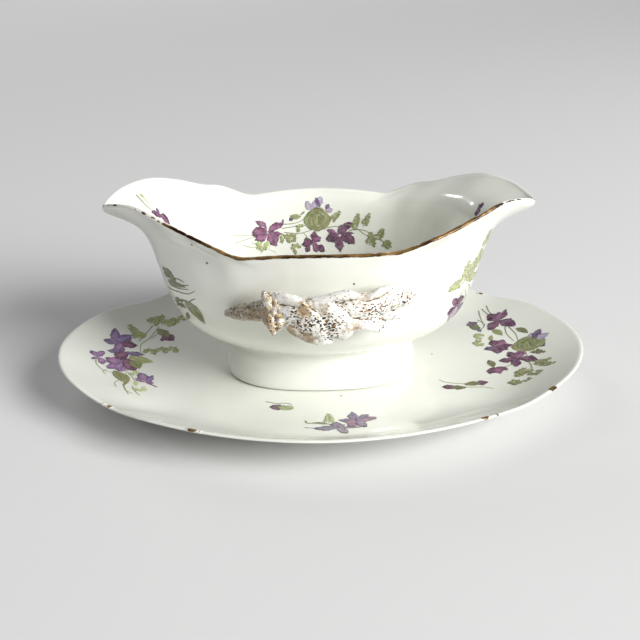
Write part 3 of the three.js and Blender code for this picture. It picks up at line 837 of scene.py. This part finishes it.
# What is left of the stand's gilding: turn around the rim, half span as a turn, and how much.
STAND_GILT = ((0.607, 0.0012, 0.45), (0.6125, 0.002, 0.6), (0.677, 0.0034, 0.8), (0.6815, 0.001, 0.45),
              (0.702, 0.0005, 0.5), (0.714, 0.0005, 0.5), (0.844, 0.0034, 0.6), (0.8525, 0.0014, 0.5),
              (0.906, 0.0036, 0.85), (0.12, 0.003, 0.6), (0.33, 0.003, 0.6), (0.24, 0.002, 0.5))
GILT_LIFT = 0.05 * MM
GILT_THICKNESS = 0.04


def gilt_material():
    """Brown gold, thin and worn: it lets the white glaze through where the film has gone."""
    look = Look("worn_gilding")
    kept, burnt, _ = look.split(look.add("Attribute", attribute_name="gilt").outputs["Color"])
    mask = look.ranged(look.reckon("ADD", kept, look.clouds(300.0, 5.0)), 0.95, 1.03)
    # The gold's tone: clouds, less the burnt darkening and a painted highlight carried in the second channel,
    # which leaves the top rows lighter and the lower edge darker.
    shade = look.reckon("SUBTRACT", look.clouds(260.0, 5.0), look.reckon("MULTIPLY", burnt, 0.5))
    gold = look.blended(look.ranged(shade, 0.06, 0.52), (0.035, 0.014, 0.004), (0.50, 0.29, 0.095))
    look.feed("Base Color", look.blended(mask, WHITE, gold))
    look.feed("Metallic", look.reckon("MULTIPLY", mask, 0.55))
    look.fix({"Roughness": 0.27})
    return look.material


def gilding(name, lines, kept, burnt, surface, body, least):
    """A band along closed lines, laid on the glaze only where enough of the gold is kept."""
    rows = np.array([on_surface(line, surface) for line in lines])
    kept = np.array(kept)
    laid = kept.max(axis=0) > least
    verts, shares, faces, index = [], [], [], {}

    def corner(r, c):
        if (r, c) not in index:
            index[r, c] = len(verts)
            verts.append(Vector(rows[r, c]))
            # The second share is the burnt darkening plus a painted highlight: the first, lowest row darkest
            # and the last, top row lightest.
            shares.append((kept[r, c], burnt[c] + 1 - r / (len(rows) - 1), 0, 1))
        return index[r, c]

    for c in range(rows.shape[1]):
        d = (c + 1) % rows.shape[1]
        if laid[c] and laid[d]:
            for r in range(len(rows) - 1):
                faces.append((corner(r, c), corner(r, d), corner(r + 1, d), corner(r + 1, c)))
    piece = film(name, verts, faces, "gilt", np.array(shares, np.float32), GILT_THICKNESS, 0)
    return dress(piece, GILT, body, None)


def on_surface(points, surface):
    """The points moved onto the nearest glaze, and lifted just off it."""
    found = [surface.find_nearest(Vector(point)) for point in points]
    return [hit + normal * GILT_LIFT for hit, normal, _, _ in found]


def make_boat_gilding(surface):
    """The rim's gold: fullest on the near side, worn off at both tips, burnt dark near the left one."""
    x = RIM[:, 0]
    near = RIM[:, 1] < 0
    tip = np.abs(x) / 90
    fading = np.where(x < 0, ramp(tip, 0.66, 0.1), ramp(tip, 0.76, 0.06))
    base = np.where(near, 0.66, 0.5) - 0.3 * fading
    burnt = 1.3 * np.exp(-((x + 51) / 5.5) ** 2) * near + 0.25 * ramp(tip, 0.6, 0.2)
    lines = [rim_ring(inset, lift) * MM for inset, lift, _ in BOAT_GILT_ROWS]
    kept = [base + more for _, _, more in BOAT_GILT_ROWS]
    return gilding("boat_gilding", lines, kept, burnt, surface, "boat", 0.12)


def make_stand_gilding(surface):
    turns = np.arange(AROUND_STAND * 6) / (AROUND_STAND * 6)
    base = np.zeros_like(turns)
    for centre, half_span, amount in STAND_GILT:
        base = np.maximum(base, amount * np.exp(-((turns - centre) / half_span) ** 2))
    lines = [stand_row(share, height, 1, turns) for share, height, _ in STAND_GILT_ROWS]
    kept = [base + more for _, _, more in STAND_GILT_ROWS]
    return gilding("stand_gilding", lines, kept, np.zeros_like(turns), surface, "stand", 0.18)


# ---------------------------------------------------------------- handles
# Each strand of clay is a row of sections: x, y, z, half height and half thickness in mm, lean in
# degrees.
STUB = ((-37.2, -37.4, 49.8, 1.3, 1.4, 0), (-33, -41.6, 51.8, 3.0, 2.3, 0),
        (-27, -46.6, 54.2, 3.9, 2.9, 6), (-20, -51, 56.6, 4.8, 3.2, 8), (-14, -53.6, 58, 5.0, 3.0, 10))
CORE = ((-16, -52.4, 58.2, 4.6, 2.4, 8), (-7, -54.6, 57.6, 6.4, 2.2, 8), (2, -55.4, 57, 7.4, 2.0, 0),
        (10, -54.8, 57.4, 6.2, 2.2, -6), (16, -53.2, 58, 4.6, 2.2, -8))
NEAR_LEAF = ((-15.4, -55.4, 59, 2.6, 1.6, 10), (-11.4, -57, 57.4, 5.2, 1.9, 14),
             (-6, -58.2, 55, 6.2, 1.9, 14), (-1.4, -58.8, 51.8, 5.0, 1.8, 10),
             (2, -58.6, 48.4, 2.6, 1.4, 6))
FAR_LEAF = ((-5.4, -56.4, 61.4, 2.0, 1.8, 0), (0.4, -57.4, 59, 5.0, 2.3, 0),
            (4.6, -58.4, 55, 6.6, 2.5, 6), (7.4, -58.4, 51, 5.6, 2.3, 8), (8.4, -57.2, 48, 2.0, 1.5, 8))
UPPER_LOBE = ((6, -54, 60, 4.2, 2.4, 0), (12, -54.6, 59.6, 5.4, 2.8, -8), (19, -52.6, 59.4, 5.2, 3.0, -6),
              (25.4, -48.8, 60.2, 5.4, 2.8, 0), (31.4, -44.4, 58.6, 4.8, 2.6, 0),
              (36.8, -39.4, 56.4, 2.2, 1.9, 0))
LOWER_TAIL = ((6, -54.4, 55.4, 3.6, 2.4, 0), (12, -54.8, 53.6, 3.8, 2.6, -8),
              (18, -52.2, 51, 3.4, 2.4, -8), (23.4, -48.8, 48.2, 2.6, 2.0, 0),
              (27, -46.2, 46.2, 1.1, 1.2, 0))
SMALL_TIP = ((19, -50.8, 56, 2.4, 2.0, 0), (25.6, -46.8, 52.6, 2.6, 2.1, 0),
             (30.8, -43, 50.2, 1.3, 1.4, 0))
FLAP = ((-17.4, -54.8, 62, 1.6, 1.4, 0), (-13.6, -56.8, 64, 2.4, 1.6, 16),
        (-9, -58.2, 63.4, 2.3, 1.7, 20), (-4.6, -58.6, 61.2, 1.1, 1.1, 20))
LOWER_FOLD = ((-14.4, -55.8, 55, 1.2, 1.2, 0), (-10, -57.2, 51.2, 2.2, 1.5, 10),
              (-4.4, -57.8, 48.4, 2.3, 1.5, 10), (1, -57.8, 46.8, 1.6, 1.4, 0),
              (4, -57.4, 46.4, 0.9, 0.9, 0))
TOP_RIDGE = ((-3, -56.6, 63.2, 0.9, 1.1, 0), (3, -57.2, 64.2, 1.6, 1.7, 0), (10, -57, 65.2, 1.9, 1.8, 0),
             (14.2, -55.6, 63.8, 1.0, 1.1, 0))
LOBE_RIDGE = ((14.4, -54.8, 61.4, 1.0, 1.2, 0), (19.4, -53.8, 63.4, 1.6, 1.5, 0),
              (25, -50.6, 64.6, 1.5, 1.4, 0), (31.6, -45.6, 62.2, 1.0, 1.1, 0))
LOBE_FOLD = ((11, -56.6, 57.4, 1.0, 1.1, 0), (16.4, -55.8, 58.6, 1.7, 1.3, 0),
             (22, -52.6, 58, 1.7, 1.3, 0), (28, -48, 56.8, 1.2, 1.1, 0))
END_RIDGE = ((28, -48, 61, 0.9, 1.0, 0), (32.4, -44.6, 60.4, 1.6, 1.3, 0), (36.4, -41, 58.4, 1.0, 1.0, 0))

# Strands of the ribbon, with the number, depth and twist of their flutes.
STRANDS = ((STUB, 5, 0.07, 3), (CORE,), (NEAR_LEAF,), (FAR_LEAF,), (UPPER_LOBE, 5, 0.06, 2),
           (LOWER_TAIL, 4, 0.06, 2), (SMALL_TIP,), (FLAP,), (LOWER_FOLD,), (TOP_RIDGE,), (LOBE_RIDGE,),
           (LOBE_FOLD,), (END_RIDGE,))
# The band's curls above and below.
CURLS = (((-18.6, -56, 60, 1.8, 1.4, 0), (-20, -56.4, 63.6, 1.8, 1.5, 0), (-21.2, -55.6, 66.4, 0.9, 0.9, 0)),
         ((-16.4, -56.4, 60, 1.6, 1.3, 0), (-17, -56.4, 63, 1.3, 1.2, 0), (-17.6, -55.6, 65, 0.7, 0.8, 0)),
         ((-19, -56.4, 58, 1.6, 1.4, 0), (-18.4, -57.4, 54, 2.5, 1.4, 0), (-17.8, -57, 49.4, 0.7, 0.8, 0)),
         ((-16, -57.2, 58, 1.4, 1.2, 0), (-15.2, -57.6, 54.6, 1.6, 1.2, 0), (-16.4, -57, 51, 0.7, 0.8, 0)))
# The band's two hoops: middle, heading, lean, half height, half depth, half width, thickness.
HOOPS = (((-16.4, -52.6, 57.6), -31, 12, 6.4, 4.6, 2.2, 1.3),
         ((-18.8, -51.6, 57.2), -33, -8, 6.0, 4.4, 1.5, 1.2))

# Where the painter dabbed the front handle: across, height and reach in mm, and how much.
# Much of this brown is painted shade: the stub in the knot's shadow, under the top flap, along the lower fold
# and under the right lobe.
BROWN_WASH_AND_SHADE = ((-33, 51.6, 6, 0.9), (-26, 54, 6, 1.0), (-21, 56, 5, 0.9), (-10, 50.6, 3.4, 0.9),
              (-5, 48.4, 3, 0.9), (-6, 60.6, 3.4, 0.85), (1, 60.4, 2.6, 0.7), (9, 62.6, 3, 0.5),
              (17, 62.4, 3.4, 0.7), (23, 62.6, 3, 0.5), (13, 52.6, 2, 0.6), (10, 53, 2.4, 0.45))
DARK_DABS = ((-9, 57.4, 4.2, 1.0), (-5, 54.4, 3.6, 0.8), (2.6, 54.4, 4.8, 1.0), (4.6, 50.6, 3.4, 0.8),
             (19, 56.6, 5, 0.7), (26, 57.4, 5, 0.7), (32.4, 58, 4, 0.8), (-32, 52, 5, 0.6),
             (-25, 54.6, 4, 0.5), (22, 48.6, 4, 0.35), (28, 51.6, 3, 0.5), (8, 63.6, 4, 0.3))
GOLD_DABS = ((9.6, 57, 3, 0.8), (12, 53.4, 2.6, 0.8), (-4.6, 60.4, 3, 0.7), (2, 60.6, 3, 0.7),
             (7, 54.6, 3, 0.5), (24.6, 62.4, 5, 0.5), (-22, 56.6, 4, 0.6), (34, 60, 3, 0.5),
             (-10, 62, 3, 0.5))
DAB_REACH = 1.25
BAND_PAINT = (0.5, 0.42, 0.7)    # the least the band has everywhere of the wash, dabs and gold


def strand_mesh(stations, flutes=0, depth=0.0, twist=0.0, around=28, per_station=9):
    """Verts and faces of one strand of clay, an oval in section, with flutes along it."""
    count = (len(stations) - 1) * per_station + 1
    fine = catmull(stations, count)
    line = fine[:, :3]
    ahead = np.gradient(line, axis=0)
    ahead /= np.linalg.norm(ahead, axis=1)[:, None]
    away = np.array([0, -1.0, 0])
    verts, faces = [tuple(line[0] - 0.6 * ahead[0])], []
    for i in range(count):
        up = np.cross(away, ahead[i])
        up /= np.linalg.norm(up)
        out = np.cross(ahead[i], up)
        lean = math.radians(fine[i, 5])
        tall = up * math.cos(lean) + out * math.sin(lean)
        thick = out * math.cos(lean) - up * math.sin(lean)
        for k in range(around):
            angle = 2 * math.pi * k / around
            swell = 1 + depth * math.cos(flutes * angle + twist * i / count)
            verts.append(tuple(line[i] + tall * math.sin(angle) * fine[i, 3] * swell
                               + thick * math.cos(angle) * fine[i, 4] * swell))
    verts.append(tuple(line[-1] + 0.6 * ahead[-1]))
    for k in range(around):
        j = (k + 1) % around
        faces.append((0, 1 + j, 1 + k))
        for i in range(count - 1):
            a, b = 1 + i * around, 1 + (i + 1) * around
            faces.append((a + k, a + j, b + j, b + k))
        last = 1 + (count - 1) * around
        faces.append((last + k, last + j, len(verts) - 1))
    return verts, faces


def hoop_mesh(middle, heading, lean, half_height, half_depth, width, thickness, around=56, section=16):
    """A closed strip wrapped around the ribbon, with a groove along its middle."""
    verts, faces = [], []
    turn = Matrix.Rotation(math.radians(heading), 3, "Z") @ Matrix.Rotation(math.radians(lean), 3, "Y")
    for k in range(around):
        angle = 2 * math.pi * k / around
        for j in range(section):
            s = 2 * math.pi * j / section
            groove = 1 - 0.35 * math.exp(-(math.sin(s) / 0.3) ** 2)
            outward = math.cos(s) * thickness * (groove if math.cos(s) > 0 else 1)
            at = Vector((math.sin(s) * width, math.cos(angle) * (half_depth + outward),
                         math.sin(angle) * (half_height + outward)))
            verts.append(tuple(turn @ at + Vector(middle)))
            a, b = k * section, ((k + 1) % around) * section
            faces.append((a + j, a + (j + 1) % section, b + (j + 1) % section, b + j))
    return verts, faces


def fused(name, parts, voxel, smooth):
    """The parts melted into one skin, as wet clay is."""
    verts, faces = [], []
    for part_verts, part_faces in parts:
        base = len(verts)
        verts += [Vector(v) * MM for v in part_verts]
        faces += [tuple(base + i for i in face) for face in part_faces]
    mesh = plain_mesh(name, verts, faces)
    bm = bmesh.new()
    bm.from_mesh(mesh)
    bmesh.ops.recalc_face_normals(bm, faces=bm.faces)
    bm.to_mesh(mesh)
    bm.free()
    piece = placed(name, mesh)
    melt = piece.modifiers.new("melt", "REMESH")
    melt.mode = "VOXEL"
    melt.voxel_size = voxel * MM
    relax = piece.modifiers.new("relax", "SMOOTH")
    relax.factor = 0.5
    relax.iterations = smooth
    applied(piece).data.shade_smooth()
    return piece


def worked(piece, amount):
    """Small dents and drag marks from the potter's tool, pressed along the surface's normals."""
    mesh = piece.data
    normals = [v.normal.copy() for v in mesh.vertices]
    for vertex, normal in zip(mesh.vertices, normals):
        at = vertex.co / MM
        stretched = Vector((at.x * 0.22, at.y * 0.5, at.z * 0.75))
        drag = noise.noise(stretched) + 0.5 * noise.noise(stretched * 2.3)
        vertex.co += normal * (drag * amount * MM)
    mesh.update()
    return piece


def numbers(collection, field, width, kind=float):
    """The field's numbers, a row for each item of the collection."""
    flat = np.empty(width * len(collection), kind)
    collection.foreach_get(field, flat)
    return flat.reshape(-1, width)


def painted(piece, even=(0.0, 0.0, 0.0)):
    """Give the skin its paint: how much brown wash and painted shade, dark dabs and gold it carries, and its
    creases.
    """
    at = numbers(piece.data.vertices, "co", 3) / MM
    paint = np.ones((len(at), 4), np.float32)
    for channel, dabs in enumerate((BROWN_WASH_AND_SHADE, DARK_DABS, GOLD_DABS)):
        amount = np.full(len(at), even[channel])
        for across, height, reach, strength in dabs:
            away = ((at[:, 0] - across) ** 2 + (at[:, 2] - height) ** 2) / (reach * DAB_REACH) ** 2
            amount = np.maximum(amount, strength * np.exp(-away))
        paint[:, channel] = amount
    paint[:, 3] = hollows(piece.data)
    carried = piece.data.color_attributes.new("paint", "FLOAT_COLOR", "POINT")
    carried.data.foreach_set("color", paint.ravel())
    return piece


def hollows(mesh, rounds=4):
    """How deep each vertex lies in the modelling: above 0.5 in a crease, below it on a ridge."""
    place = numbers(mesh.vertices, "co", 3)
    normal = numbers(mesh.vertex_normals, "vector", 3)
    a, b = numbers(mesh.edges, "vertices", 2, np.int32).T
    count = len(place)
    degree = np.bincount(a, minlength=count) + np.bincount(b, minlength=count)

    def neighbours(values):
        total = np.bincount(a, values[b], count) + np.bincount(b, values[a], count)
        return total / np.maximum(degree, 1)

    bulge = sum((neighbours(place[:, i]) - place[:, i]) * normal[:, i] for i in range(3)) / MM
    for _ in range(rounds):
        bulge = 0.5 * bulge + 0.5 * neighbours(bulge)
    return np.clip(0.5 + bulge * 14, 0, 1)


def make_ribbon():
    parts = [strand_mesh(*strand) for strand in STRANDS]
    return painted(worked(fused("ribbon_handle", parts, 0.3, 3), 0.22))


def make_band():
    parts = [hoop_mesh(*hoop) for hoop in HOOPS] + [strand_mesh(curl, 3, 0.08, 2) for curl in CURLS]
    return painted(worked(fused("handle_band", parts, 0.28, 3), 0.14), BAND_PAINT)


def stipple_material():
    """White glaze dabbed by hand: dark flecks in crowds, a brown wash partly of painted shade, worn gold,
    dark creases.
    """
    look = Look("stippled_glaze")
    paint = look.add("Attribute", attribute_name="paint").outputs
    wash_and_shade, dabs, gold = look.split(paint["Color"])

    # Flecks: cells of an uneven, leaning grid, larger where the painter dabbed.
    shift = look.add("VectorMath", operation="MULTIPLY_ADD")
    shift.inputs[1].default_value = (0.0026, 0.0026, 0.002)
    look.link(look.clouds(520.0, 2.0, "Color"), shift.inputs[0])
    look.link(look.place, shift.inputs[2])
    lean = look.add("Mapping", Rotation=(0, math.radians(35), 0), Scale=(0.78, 1.0, 1.1))
    look.link(shift.outputs[0], lean.inputs["Vector"])
    cells = look.add("TexVoronoi", Scale=1020.0)
    look.link(lean.outputs[0], cells.inputs["Vector"])
    crowd = look.reckon("ADD", look.ranged(look.clouds(150.0, 2.0), 0.4, 0.65, -0.1, 0.3), dabs)
    size = look.ranged(crowd, 0.0, 0.85, 0.13, 0.5)
    fleck = look.ranged(look.reckon("SUBTRACT", size, cells.outputs["Distance"]), 0.0, 0.035)
    chance = look.split(cells.outputs["Color"])[0]
    amber = look.reckon("ADD", chance, look.reckon("MULTIPLY", gold, 0.5))
    fleck_tone = look.blended(look.ranged(amber, 0.62, 0.9), (0.022, 0.010, 0.005), (0.30, 0.155, 0.035))

    # The ground under them: white, the wash and painted shade, the gold, then the lines in the creases.
    wash_and_shade_share = look.reckon("ADD", look.clouds(480.0, 6.0), look.reckon("MULTIPLY", wash_and_shade, 0.5))
    gleam = look.reckon("ADD", look.clouds(760.0, 3.0), look.reckon("MULTIPLY", gold, 0.24))
    lines = look.reckon("ADD", paint["Alpha"], look.clouds(330.0, 4.0))
    ground = (0.83, 0.82, 0.77)
    for amount, low, high, colour in ((wash_and_shade_share, 0.62, 0.9, (0.34, 0.26, 0.165)),
                                      (gleam, 0.76, 0.81, (0.50, 0.34, 0.075)),
                                      (lines, 1.17, 1.3, (0.16, 0.092, 0.035))):
        ground = look.blended(look.ranged(amount, low, high), ground, colour)
    look.feed("Base Color", look.blended(fleck, ground, fleck_tone))
    look.glazed(0.2, 0.3)
    return look.material


def both_sides(make, front, back, front_node, back_node):
    """The front piece and its twin, turned half a turn for the back."""
    piece = make()
    piece.name = front
    twin = placed(back, piece.data.copy())
    twin.data.transform(Matrix.Rotation(math.pi, 4, "Z"))
    dress(piece, STIPPLE, "boat", front_node)
    dress(twin, STIPPLE, "boat", back_node)


# ---------------------------------------------------------------- the set
def dress(piece, material, body, node):
    piece.data.materials.clear()
    piece.data.materials.append(material)
    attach(piece, body)
    if node:
        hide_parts(node)
    return piece


def surface_of(piece):
    mesh = piece.data
    return BVHTree.FromPolygons([v.co for v in mesh.vertices], [tuple(f.vertices) for f in mesh.polygons])


GLAZE = glaze_material()
INK = ink_material()
GILT = gilt_material()
STIPPLE = stipple_material()
stand = dress(make_stand(), GLAZE, "stand", "stand")
bowl = dress(make_bowl(), GLAZE, "boat", "bowl")
foot = dress(make_foot(), GLAZE, "boat", "pedestal_foot")

STAND_SPRAYS = (
    ("stand_left_spray", from_above(0.1), draw_left_spray),
    ("stand_right_spray", from_above(0.1), draw_right_spray),
    ("stand_front_buds", from_above(0.1), draw_stand_buds),
    ("stand_front_sprig", from_above(0.1), draw_front_sprig),
    ("stand_back_sprig", from_above(0.1, -1), draw_front_sprig),
)
BOWL_SPRAYS = (
    ("inside_back_spray", from_side(0), draw_wall_spray),
    ("inside_front_spray", from_side(0, -1), draw_wall_spray),
    ("inside_left_lip", from_above(0.2), draw_left_lip),
    ("inside_right_lip", from_above(0.2), draw_right_lip),
    ("outside_right_front", from_side(0.2), draw_outside_right),
    ("outside_left_front", from_side(0.2), draw_outside_left),
    ("outside_left_back", from_side(0.2, -1), draw_outside_right),
    ("outside_right_back", from_side(0.2, -1), draw_outside_left),
)
seeds = iter(range(len(STAND_SPRAYS) + len(BOWL_SPRAYS)))
for sprays, porcelain, body in ((STAND_SPRAYS, stand, "stand"), (BOWL_SPRAYS, bowl, "boat")):
    surface = surface_of(porcelain)
    for name, rays, draw in sprays:
        spray = Print(name, surface, rays, next(seeds))
        draw(spray)
        spray.finish(body)

make_boat_gilding(surface_of(bowl))
make_stand_gilding(surface_of(stand))
both_sides(make_ribbon, "front_ribbon", "back_ribbon", "front_handle", "back_handle")
both_sides(make_band, "front_band", "back_band", "front_handle_band", "back_handle_band")


# ---------------------------------------------------------------- studio
# Place, target, size in metres, power in watts, colour, and whether the glaze mirrors the light.
LIGHTS = {
    "window": ((1.72, -1.25, 1.12), (0, 0, 0.05), (1.3, 1.1), 88, (1, 0.995, 0.98), True),
    "back_window": ((-1.15, 1.4, 1.3), (0, 0, 0), (1.4, 1.0), 10, (1, 1, 1), False),
    "floor_lamp": ((0.1, 2.0, 0.75), (0.1, 1.8, 0), (1.8, 0.5), 3.4, (1, 1, 1), False),
    "far_pane": ((-1.21, -0.12, 0.86), (0, 0, 0.07), (0.08, 0.11), 0.8, (1, 1, 1), True),
}
SKY = ((0.97, 0.98, 1.0, 1), 0.18)
CAMERA_PLACE = (-1.6 * MM, -387.0 * MM, 205.9 * MM)
CAMERA_PITCH = math.radians(24.55)
CAMERA_PAN = math.radians(0.22)
CAMERA_ROLL = math.radians(-0.76)
CAMERA_LENS = 54.56
CAMERA_SENSOR = 36


def make_floor():
    mesh = bpy.data.meshes.new("floor")
    bm = bmesh.new()
    bmesh.ops.create_grid(bm, x_segments=2, y_segments=2, size=4)
    bm.to_mesh(mesh)
    bm.free()
    look = Look("pale_floor")
    look.fix({"Base Color": (0.72, 0.72, 0.725, 1), "Roughness": 0.9})
    mesh.materials.append(look.material)
    placed("floor", mesh)


def area_light(name, place, target, size, power, colour, mirrored):
    data = bpy.data.lights.new(name, "AREA")
    data.shape = "RECTANGLE"
    data.size, data.size_y = size
    data.energy = power
    data.color = colour
    light = placed(name, data)
    light.location = place
    light.rotation_euler = (Vector(target) - Vector(place)).to_track_quat("-Z", "Y").to_euler()
    light.visible_glossy = mirrored


def make_light():
    world = bpy.data.worlds.new("studio")
    world.use_nodes = True
    sky = world.node_tree.nodes["Background"].inputs
    sky["Color"].default_value, sky["Strength"].default_value = SKY
    bpy.context.scene.world = world
    for name, settings in LIGHTS.items():
        area_light(name, *settings)


def make_camera():
    forward = Vector((math.sin(CAMERA_PAN) * math.cos(CAMERA_PITCH),
                      math.cos(CAMERA_PAN) * math.cos(CAMERA_PITCH), -math.sin(CAMERA_PITCH)))
    right = Vector((math.cos(CAMERA_PAN), -math.sin(CAMERA_PAN), 0))
    up = right.cross(forward)
    c, s = math.cos(CAMERA_ROLL), math.sin(CAMERA_ROLL)
    right, up = c * right + s * up, -s * right + c * up
    data = bpy.data.cameras.new("camera")
    data.lens = CAMERA_LENS
    data.sensor_width = CAMERA_SENSOR
    camera = placed("camera", data)
    turn = Matrix((right, up, -forward)).transposed().to_4x4()
    camera.matrix_world = Matrix.Translation(CAMERA_PLACE) @ turn
    bpy.context.scene.camera = camera


make_floor()
make_light()
make_camera()
bpy.context.scene.view_settings.view_transform = "Standard"
